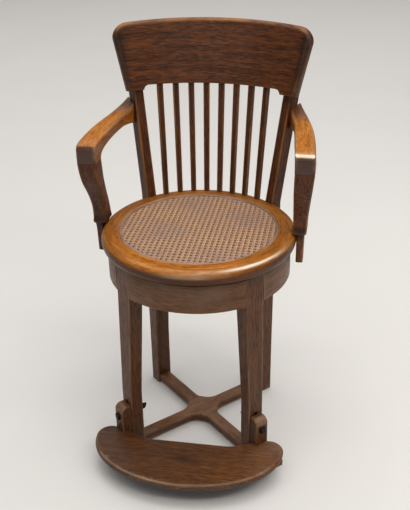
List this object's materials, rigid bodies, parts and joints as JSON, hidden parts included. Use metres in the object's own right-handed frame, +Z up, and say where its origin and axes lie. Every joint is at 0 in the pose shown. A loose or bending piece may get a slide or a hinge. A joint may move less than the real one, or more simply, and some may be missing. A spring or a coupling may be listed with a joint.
{
  "type": "revolving barber chair",
  "caption": "Oak revolving barber chair with a round cane seat on a four-leg base, a slatted back under a curved crest rail, scrolled arms and a footrest clamped to the front legs.",
  "frame": {"origin": "on the floor, below the middle of the whole chair's width and depth; the swivel axis stands behind it at y = 0.032", "axes": "+Z up, -Y towards the sitter's front and the footrest, +X to the right as seen from the front"},
  "size_m": [0.443, 0.522, 0.8079],
  "materials": {
    "golden_oak": "varnished oak, worn golden",
    "brown_oak": "dark stained and varnished oak",
    "hidden_oak": "bare oak under the seat",
    "cane": "woven rattan cane, aged",
    "iron": "dark cast iron",
    "steel": "aged steel"
  },
  "bodies": {
    "base": {"leg_front_left": "brown_oak", "leg_front_right": "brown_oak", "leg_back_left": "brown_oak", "leg_back_right": "brown_oak", "apron_front": "brown_oak", "apron_back": "brown_oak", "apron_left": "brown_oak", "apron_right": "brown_oak", "stretcher_lower": "brown_oak", "stretcher_upper": "brown_oak", "bearer_lower": "hidden_oak", "bearer_upper": "hidden_oak", "swivel_socket": "iron", "socket_screw_1": "steel", "socket_screw_2": "steel", "socket_screw_3": "steel", "socket_screw_4": "steel", "thrust_washer": "steel"},
    "seat": {"seat_ring": "golden_oak", "cane_panel": "cane", "cane_spline": "cane", "seat_spider": "iron", "spider_screw_1": "steel", "spider_screw_2": "steel", "spider_screw_3": "steel", "spider_screw_4": "steel", "spindle": "steel", "spindle_washer": "steel", "spindle_nut": "steel", "back_post_left": "brown_oak", "back_post_right": "brown_oak", "slat_1": "brown_oak", "slat_2": "brown_oak", "slat_3": "brown_oak", "slat_4": "brown_oak", "slat_5": "brown_oak", "slat_6": "brown_oak", "slat_7": "brown_oak", "slat_8": "brown_oak", "crest_rail": "brown_oak", "arm_left": "golden_oak", "arm_right": "golden_oak", "arm_support_left": "brown_oak", "arm_support_right": "brown_oak", "tang_screw_1": "steel", "tang_screw_2": "steel", "tang_screw_3": "steel", "tang_screw_4": "steel"},
    "footrest": {"footrest_board": "brown_oak", "footrest_bracket_left": "brown_oak", "footrest_bracket_right": "brown_oak", "cleat_screw_left": "steel", "cleat_screw_right": "steel", "clamp_bolt_left": "iron", "clamp_bolt_right": "iron", "clamp_washer_left": "steel", "clamp_washer_right": "steel"},
    "left_wing_nut": {"wing_nut_left": "iron"},
    "right_wing_nut": {"wing_nut_right": "iron"}
  },
  "joints": [
    {"name": "seat_swivel", "type": "hinge", "parent": "base", "child": "seat", "pos_m": [0, 0.03206, 0.404], "axis": [0, 0, 1], "continuous": true},
    {"name": "footrest_height", "type": "slide", "parent": "base", "child": "footrest", "axis": [0, 0, 1], "range_m": [0, 0.028]},
    {"name": "wing_nut_left_turn", "type": "hinge", "parent": "footrest", "child": "left_wing_nut", "pos_m": [-0.11153, -0.07947, 0.088], "axis": [0.7071, 0.7071, 0], "range_deg": [0, 360]},
    {"name": "wing_nut_right_turn", "type": "hinge", "parent": "footrest", "child": "right_wing_nut", "pos_m": [0.11153, -0.07947, 0.088], "axis": [-0.7071, 0.7071, 0], "range_deg": [0, 360]}
  ]
}
